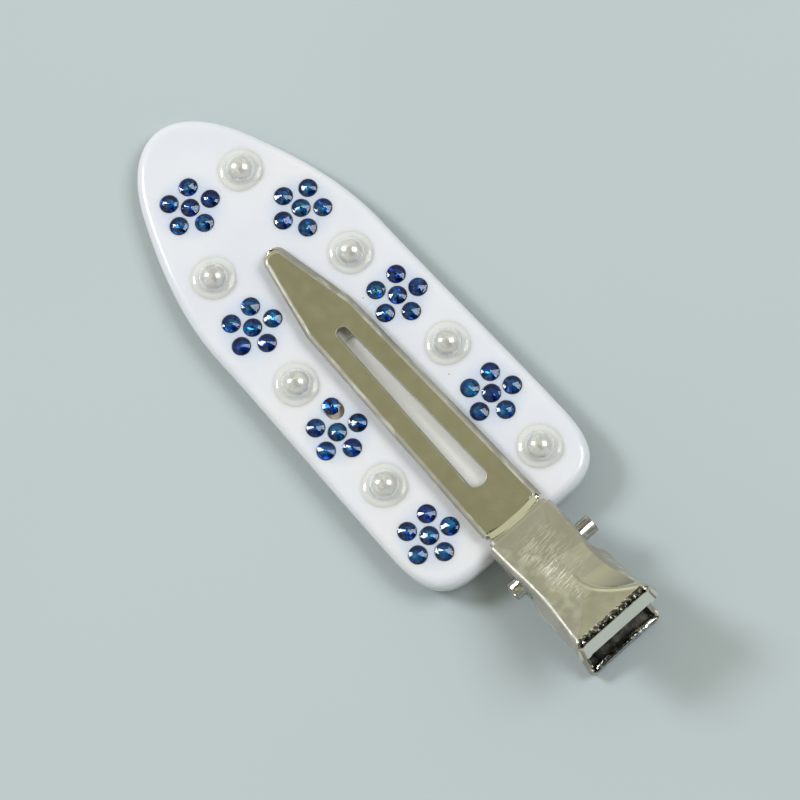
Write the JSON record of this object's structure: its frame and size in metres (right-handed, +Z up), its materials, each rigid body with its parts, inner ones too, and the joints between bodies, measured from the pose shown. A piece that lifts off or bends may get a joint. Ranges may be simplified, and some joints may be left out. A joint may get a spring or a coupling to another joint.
{
  "type": "rhinestone hair clip",
  "caption": "Sprung no-crease hair clip: a white resin plate set with stone flowers and half pearls, glued to a slotted steel clip with two finger tabs.",
  "frame": {"origin": "centre of the plate's flat back", "axes": "+X along the plate towards the finger tabs, +Y across it, +Z up out of the decorated face"},
  "size_m": [0.0731, 0.023, 0.0109],
  "materials": {
    "resin": "polished cool white resin",
    "adhesive": "cured clear glue",
    "nickel": "bright nickel-plated steel, lightly scratched",
    "spring_steel": "plain spring steel",
    "sapphire": "faceted foil-backed blue glass",
    "nacre": "pearl lustre"
  },
  "bodies": {
    "plate_and_lower_arm": {"plate": "resin", "glue_layer": "adhesive", "lower_arm": "nickel", "pivot_pin": "nickel", "spring": "spring_steel", "flower_1_centre": "sapphire", "flower_1_petal_1": "sapphire", "flower_1_petal_2": "sapphire", "flower_1_petal_3": "sapphire", "flower_1_petal_4": "sapphire", "flower_1_petal_5": "sapphire", "flower_2_centre": "sapphire", "flower_2_petal_1": "sapphire", "flower_2_petal_2": "sapphire", "flower_2_petal_3": "sapphire", "flower_2_petal_4": "sapphire", "flower_2_petal_5": "sapphire", "flower_3_centre": "sapphire", "flower_3_petal_1": "sapphire", "flower_3_petal_2": "sapphire", "flower_3_petal_3": "sapphire", "flower_3_petal_4": "sapphire", "flower_3_petal_5": "sapphire", "flower_4_centre": "sapphire", "flower_4_petal_1": "sapphire", "flower_4_petal_2": "sapphire", "flower_4_petal_3": "sapphire", "flower_4_petal_4": "sapphire", "flower_4_petal_5": "sapphire", "flower_5_centre": "sapphire", "flower_5_petal_1": "sapphire", "flower_5_petal_2": "sapphire", "flower_5_petal_3": "sapphire", "flower_5_petal_4": "sapphire", "flower_5_petal_5": "sapphire", "flower_6_centre": "sapphire", "flower_6_petal_1": "sapphire", "flower_6_petal_2": "sapphire", "flower_6_petal_3": "sapphire", "flower_6_petal_4": "sapphire", "flower_6_petal_5": "sapphire", "flower_7_centre": "sapphire", "flower_7_petal_1": "sapphire", "flower_7_petal_2": "sapphire", "flower_7_petal_3": "sapphire", "flower_7_petal_4": "sapphire", "flower_7_petal_5": "sapphire", "pearl_1": "nacre", "pearl_2": "nacre", "pearl_3": "nacre", "pearl_4": "nacre", "pearl_5": "nacre", "pearl_6": "nacre", "pearl_7": "nacre"},
    "upper_arm": {"upper_arm": "nickel"}
  },
  "joints": [
    {"name": "arm_hinge", "type": "hinge", "parent": "plate_and_lower_arm", "child": "upper_arm", "pos_m": [0.033, 0, 0.00332], "axis": [0, 1, 0], "range_deg": [0, 28], "stiffness_Nm_per_rad": 0.03, "springref_deg": -28.65, "deforming": ["spring"]}
  ]
}
